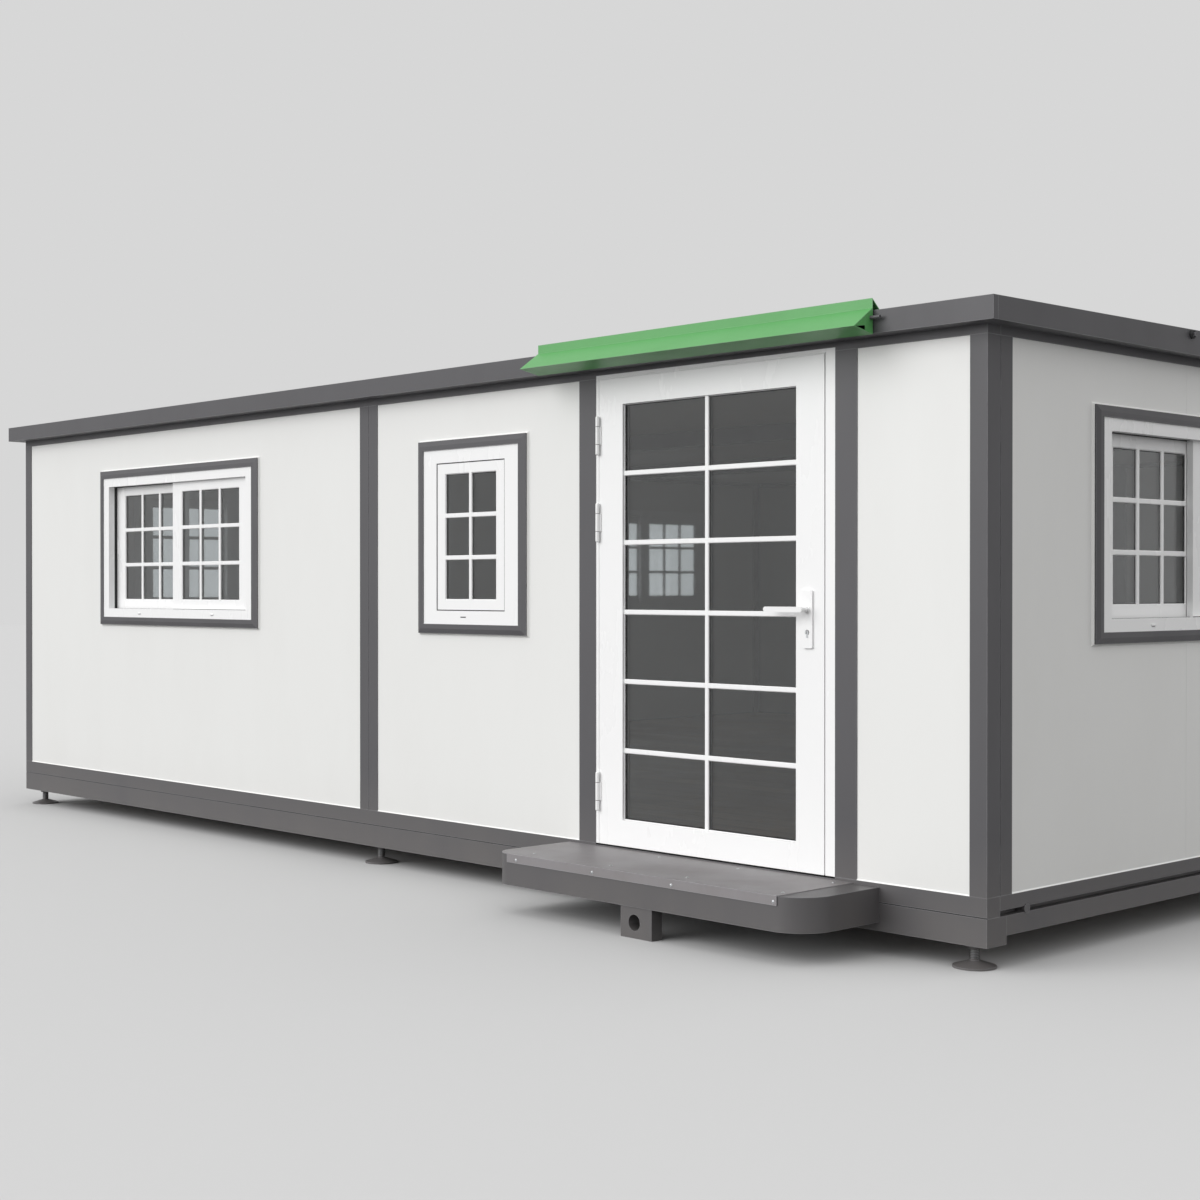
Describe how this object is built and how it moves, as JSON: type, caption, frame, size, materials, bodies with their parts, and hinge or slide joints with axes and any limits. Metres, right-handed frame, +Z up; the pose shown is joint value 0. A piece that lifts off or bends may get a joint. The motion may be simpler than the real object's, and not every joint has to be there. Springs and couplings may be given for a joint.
{
  "type": "expandable prefab house",
  "caption": "Flat-roofed prefabricated house of white sandwich panels in dark steel trims, with a glazed door, sliding windows, a door awning and a step, standing on jack feet.",
  "frame": {"origin": "middle of the whole outline in plan, on the level ground under the jack feet", "axes": "+X along the front wall towards the door's end, +Y from the front to the back, +Z up"},
  "size_m": [7.72, 7.77, 2.505],
  "materials": {
    "dark_steel": "satin dark grey paint",
    "white_panel": "white coated steel skins on a foam core",
    "white_plastic": "white window profile",
    "window_glass": "clear double glazing",
    "lever_metal": "white coated lever",
    "floor_board": "wood-look floor boards",
    "roof_sheet": "coated steel roof",
    "green_sheet": "muted green sheet"
  },
  "bodies": {
    "house": {"base_long_beams": "dark_steel", "base_end_beams": "dark_steel", "base_core_beams": "dark_steel", "jack_feet": "dark_steel", "core_floor": "floor_board", "wing_floors": "floor_board", "long_sills": "dark_steel", "end_sills": "dark_steel", "corner_posts": "dark_steel", "wall_posts": "dark_steel", "core_columns": "dark_steel", "long_top_rails": "dark_steel", "end_top_rails": "dark_steel", "core_top_beams": "dark_steel", "front_wall_wide": "white_panel", "front_wall_middle": "white_panel", "front_wall_narrow": "white_panel", "back_walls": "white_panel", "right_wing_walls": "white_panel", "left_wing_walls": "white_panel", "core_end_walls": "white_panel", "window_trims": "dark_steel", "window_frames": "white_plastic", "sliding_sashes": "white_plastic", "casement_sash": "white_plastic", "window_glass": "window_glass", "door_jambs": "white_plastic", "door_head_and_threshold": "white_plastic", "frame_hinges": "white_plastic", "core_roof": "roof_sheet", "wing_roofs": "roof_sheet", "roof_flashings": "roof_sheet", "eave_fascias": "dark_steel", "end_fascias": "dark_steel", "awning": "green_sheet", "awning_brackets": "dark_steel", "step_frame": "dark_steel", "step_tread": "dark_steel", "step_block": "dark_steel"},
    "front_door": {"door_leaf": "white_plastic", "door_glass": "window_glass", "leaf_hinges": "white_plastic", "door_plates": "white_plastic"},
    "door_lever": {"door_levers": "lever_metal"}
  },
  "joints": [
    {"name": "front_door_hinge", "type": "hinge", "parent": "house", "child": "front_door", "pos_m": [1.708, -3.444, 1.3], "axis": [0, 0, -1], "range_deg": [0, 100]},
    {"name": "door_lever_turn", "type": "hinge", "parent": "front_door", "child": "door_lever", "pos_m": [2.914, -3.407, 1.323], "axis": [0, -1, 0], "range_deg": [0, 40], "stiffness_Nm_per_rad": 2, "springref_deg": -28.65}
  ]
}
